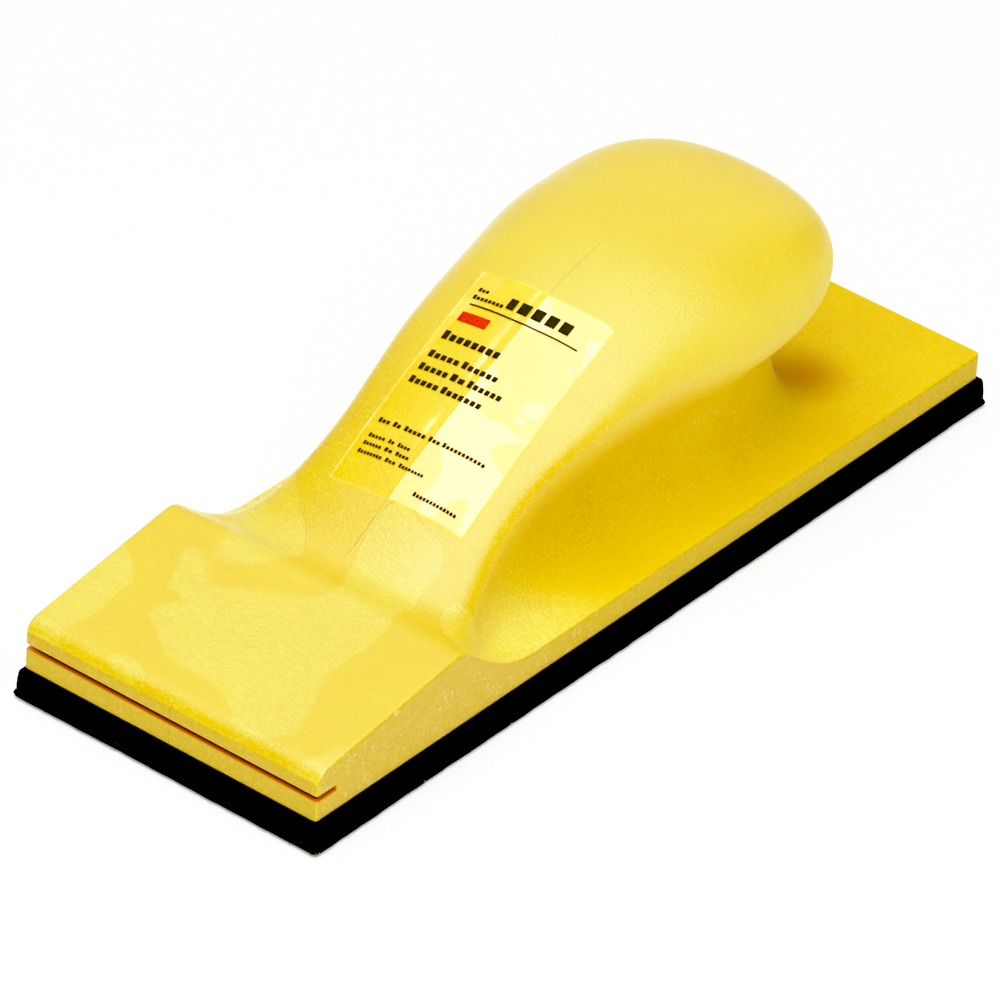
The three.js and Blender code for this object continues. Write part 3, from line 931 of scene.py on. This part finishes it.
def clear_film():
    f = Finish("clear_label")
    haze = f.ramp(f.noise(700.0, 2.0, 0.6), 0.3, 0.8)
    lifted = f.ramp(f.noise(75.0, 1.0, 0.4, 1.2), 0.56, 0.57)
    relief = f.bump(f.noise(60.0, 1.0, 0.5), 0.0004, 0.1)
    # the film shows what is under it, and adds a mirror sheen that grows at low angles and where it lifted
    tilt = f.node("ShaderNodeLayerWeight", {"Blend": 0.3, "Normal": relief}).outputs["Facing"]
    sheen = f.math("ADD", f.times(tilt, 0.045), f.mix(lifted, 0.058, 0.1))
    mirror = f.node("ShaderNodeBsdfGlossy", {"Roughness": f.mix(haze, 0.03, 0.09), "Normal": relief})
    f.feed(mirror.inputs["Color"], f.blend(sheen, (0, 0, 0, 1), (1, 0.95, 0.92, 1)))
    clear = f.node("ShaderNodeBsdfTransparent", {"Color": (1.0, 0.985, 0.84, 1)})
    both = f.node("ShaderNodeAddShader", {0: clear.outputs[0], 1: mirror.outputs[0]})
    f.links.new(both.outputs[0], f.output.inputs[0])
    f.nodes.remove(f.shader)
    return f.material


def ink(name, shade, worn):
    f = Finish(name)
    coverage = f.noise(2600.0, 3.0, 0.6)
    f.set(Base_Color=f.blend(f.ramp(coverage, 0.35, 0.75), shade, worn))
    f.set(Roughness=f.mix(coverage, 0.45, 0.7), Normal=f.bump(coverage, 0.00001, 0.3))
    f.set(Specular_IOR_Level=0.2)
    return f.material


def foam():
    f = Finish("black_foam")
    cells = f.voronoi(2600.0)
    coarse = f.noise(900.0, 3.0, 0.6)
    f.set(Base_Color=f.blend(f.ramp(cells, 0.2, 0.8), color(0, 0, 0), color(4, 4, 4)))
    relief = f.bump(cells, 0.00025, 0.8)
    f.set(Roughness=f.mix(coarse, 0.85, 1.0), Normal=f.bump(coarse, 0.0002, 0.4, relief))
    f.set(Specular_IOR_Level=0.05)
    return f.material


def hook_fabric():
    f = Finish("hook_fabric")
    rib_inputs = {"Vector": f.place, "Scale": 420.0, "Distortion": 1.5, "Detail": 2.0}
    pick_inputs = {"Vector": f.place, "Scale": 380.0, "Distortion": 1.5}
    ribs = f.node("ShaderNodeTexWave", rib_inputs)
    picks = f.node("ShaderNodeTexWave", pick_inputs, bands_direction="Y")
    weave = f.times(ribs.outputs["Fac"], picks.outputs["Fac"])
    fuzz = f.noise(3000.0, 2.0, 0.7)
    f.set(Base_Color=f.blend(f.ramp(fuzz, 0.5, 0.8), color(0, 0, 0), color(6, 6, 6)))
    relief = f.bump(weave, 0.0002, 0.6)
    f.set(Roughness=f.mix(fuzz, 0.75, 0.95), Normal=f.bump(fuzz, 0.0001, 0.5, relief))
    f.set(Specular_IOR_Level=0.08)
    return f.material


def nylon(name, dark, light):
    f = Finish(name)
    streaks = f.noise(1800.0, 2.0, 0.6)
    f.set(Base_Color=f.blend(f.ramp(streaks, 0.35, 0.7), dark, light))
    f.set(Roughness=f.mix(streaks, 0.35, 0.6), Normal=f.bump(streaks, 0.00002, 0.4))
    return f.material


def glue():
    f = Finish("adhesive")
    beads = f.noise(700.0, 3.0, 0.6)
    f.set(Base_Color=f.blend(f.ramp(beads, 0.35, 0.7), color(3, 3, 2), color(9, 7, 5)))
    f.set(Roughness=f.mix(beads, 0.3, 0.6), Normal=f.bump(beads, 0.0001, 0.4))
    return f.material


def studio_floor():
    f = Finish("studio_floor")
    mottle = f.noise(3.0, 2.0)
    f.set(Base_Color=f.blend(mottle, (0.93, 0.93, 0.93, 1), (0.95, 0.95, 0.95, 1)), Roughness=0.9)
    f.set(Specular_IOR_Level=0.1, Emission_Color=(1, 1, 1, 1), Emission_Strength=0.28)
    return f.material


# ---- Assembly ----

def dress(piece, finish, replaces=None):
    piece.data.materials.clear()
    piece.data.materials.append(finish)
    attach(piece, "root")
    if replaces:
        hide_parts(replaces)


body = make_body()
dress(body, polyurethane(), "body")

label = make_label()
dress(label, clear_film(), "label_film")
for name, rows, shade, worn in (
    ("label_print_black", BLACK_ROWS, color(14, 11, 6), color(60, 50, 22)),
    ("label_print_red", RED_ROWS, color(200, 16, 22), color(222, 60, 40)),
):
    dress(make_print(name, rows), ink(name, shade, worn))

foam_layer = make_layer("foam_layer", PAD_LOW, PAD_HIGH, FOAM_PROFILE, 0.05, 0.6, 3)
dress(foam_layer, foam(), "foam_pad")

backing_low = FACE_LOW + (0, 0, HOOK_HEIGHT)
fabric = make_layer("hook_backing", backing_low, FACE_HIGH, FABRIC_PROFILE, 0.12, 0.5, 5)
dress(fabric, hook_fabric(), "hook_face")
black_nylon = nylon("black_nylon", color(2, 2, 2), color(10, 10, 11))
hooks = make_hooks()
dress(hooks, black_nylon)
threads = make_edge_threads("edge_threads", 300, 0.35, 11, 0.06)
dress(threads, black_nylon)
pale_threads = make_edge_threads("pale_threads", 34, 0.9, 23, 0.07, frayed=0.45)
dress(pale_threads, nylon("pale_nylon", color(120, 118, 112), color(190, 188, 180)))

adhesive = glue()
for node in ("face_adhesive", "body_adhesive"):
    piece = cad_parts[node]
    piece.data.materials.clear()
    piece.data.materials.append(adhesive)

# ---- Studio ----

def make_floor():
    surface = Surface()
    side = 4000
    ticks = np.linspace(-side, side, 9)
    rows = [list(surface.add([(x, y, 0) for y in ticks])) for x in ticks]
    surface.grid(rows)
    floor = surface.build("floor", weld=0.002, smooth=False)
    floor.data.materials.append(studio_floor())


def softbox(name, at, aim, size, power):
    lamp = bpy.data.lights.new(name, "AREA")
    lamp.shape = "RECTANGLE"
    lamp.size, lamp.size_y = size
    lamp.energy = power
    made = bpy.data.objects.new(name, lamp)
    bpy.context.scene.collection.objects.link(made)
    made.location = at
    made.rotation_euler = (Vector(aim) - Vector(at)).to_track_quat("-Z", "Y").to_euler()


CAMERA_TARGET = Vector((-0.01304, -0.00624, 0.020))
CAMERA_AZIMUTH = math.radians(-53.37)
CAMERA_ELEVATION = math.radians(34.40)
CAMERA_ROLL = math.radians(4.118)
CAMERA_DISTANCE = 1.81627
CAMERA_LENS = 360
SENSOR_WIDTH = 36


def make_camera():
    azimuth, elevation = CAMERA_AZIMUTH, CAMERA_ELEVATION
    back = Vector((
        math.sin(azimuth) * math.cos(elevation),
        -math.cos(azimuth) * math.cos(elevation),
        math.sin(elevation),
    ))
    data = bpy.data.cameras.new("camera")
    data.lens = CAMERA_LENS
    data.sensor_width = SENSOR_WIDTH
    camera = bpy.data.objects.new("camera", data)
    bpy.context.scene.collection.objects.link(camera)
    turn = back.to_track_quat("Z", "Y").to_matrix() @ Matrix.Rotation(CAMERA_ROLL, 3, "Z")
    camera.matrix_world = Matrix.Translation(CAMERA_TARGET + back * CAMERA_DISTANCE) @ turn.to_4x4()
    bpy.context.scene.camera = camera


def make_world():
    world = bpy.data.worlds.new("studio")
    world.use_nodes = True
    world.node_tree.nodes["Background"].inputs["Color"].default_value = (1, 1, 1, 1)
    world.node_tree.nodes["Background"].inputs["Strength"].default_value = 0.12
    bpy.context.scene.world = world


# A plain transfer with a soft shoulder and slightly deepened blacks, as in a studio product picture.
BLACK_LEVEL = (0.012, 0.016, 0.045)
WHITE_LEVEL = (1.6, 1.6, 1.6)
SHOULDER = ((0.19, 0.3), (0.375, 0.59), (0.5, 0.77), (0.625, 0.89), (0.75, 0.96), (0.875, 0.99))
COMBINED_CURVE = 3


def set_tone():
    view = bpy.context.scene.view_settings
    view.view_transform = "Standard"
    view.use_curve_mapping = True
    transfer = view.curve_mapping
    transfer.black_level = BLACK_LEVEL
    transfer.white_level = WHITE_LEVEL
    for place in SHOULDER:
        transfer.curves[COMBINED_CURVE].points.new(*place)
    transfer.update()


make_floor()
softbox("overhead", (-0.33, -0.3, 0.85), (-0.33, -0.3, 0), (1.2, 1.56), 18.4)
softbox("behind", (0.75, 0.62, 0.6), (0, 0, 0.03), (1.6, 1.1), 3.3)
make_world()
make_camera()
set_tone()
